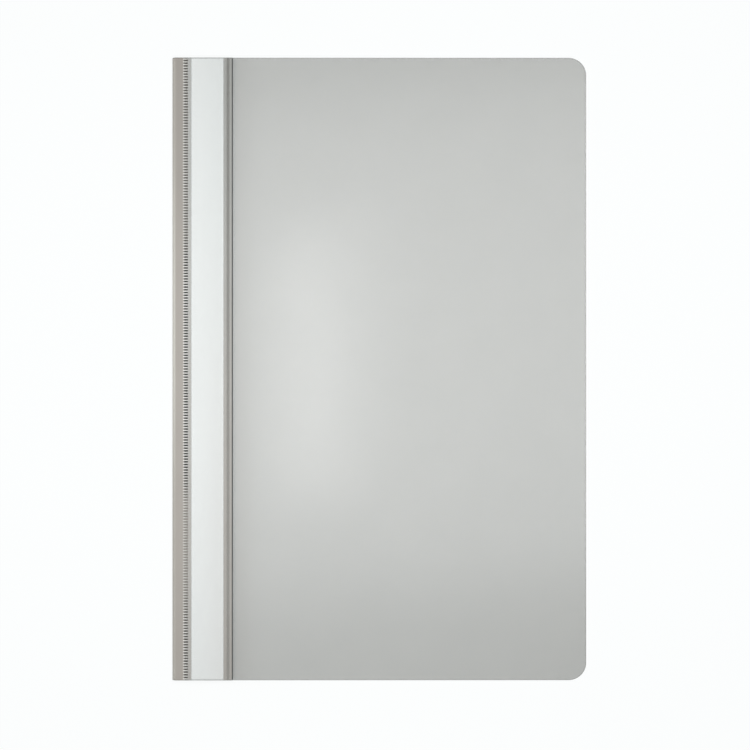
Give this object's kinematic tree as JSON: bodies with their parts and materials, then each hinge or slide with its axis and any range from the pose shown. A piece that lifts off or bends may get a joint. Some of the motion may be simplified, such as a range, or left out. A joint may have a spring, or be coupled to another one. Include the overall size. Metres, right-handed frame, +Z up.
{
  "type": "plastic file folder",
  "caption": "Clear-front report file in grey plastic with a welded margin, a title strip pocket and an inner two-prong fastener.",
  "frame": {"origin": "middle of the outline on the underside of the back cover", "axes": "+X from the spine to the open side, +Y to the top of the file, +Z up out of the front cover as it lies closed"},
  "size_m": [0.229, 0.3446, 0.0045],
  "materials": {
    "coloured_sheet": "warm grey polypropylene sheet, satin, finely grained",
    "clear_film": "clear polypropylene film, slightly frosted",
    "title_paper": "white paper, uncoated",
    "tinplate": "tin-plated steel strip, satin",
    "bar_plastic": "white moulded plastic",
    "lock_plastic": "off-white moulded plastic"
  },
  "bodies": {
    "back": {"back_cover": "coloured_sheet", "binding_flap": "coloured_sheet", "fastener_strip": "tinplate", "compressor_bar": "bar_plastic"},
    "margin": {"front_margin": "coloured_sheet", "spine_roll": "coloured_sheet", "title_pocket_film": "clear_film", "title_strip": "title_paper"},
    "cover": {"front_cover": "clear_film"},
    "upper_lock": {"slide_lock_upper": "lock_plastic"},
    "lower_lock": {"slide_lock_lower": "lock_plastic"}
  },
  "joints": [
    {"name": "spine_hinge", "type": "hinge", "parent": "back", "child": "margin", "pos_m": [-0.1145, 0, 0.00205], "axis": [0, -1, 0], "range_deg": [0, 180]},
    {"name": "cover_crease", "type": "hinge", "parent": "margin", "child": "cover", "pos_m": [-0.0816, 0, 0.0046], "axis": [0, -1, 0], "range_deg": [0, 180]},
    {"name": "upper_lock_slide", "type": "slide", "parent": "back", "child": "upper_lock", "axis": [0, -1, 0], "range_m": [0, 0.0177]},
    {"name": "lower_lock_slide", "type": "slide", "parent": "back", "child": "lower_lock", "axis": [0, 1, 0], "range_m": [0, 0.0177]}
  ]
}
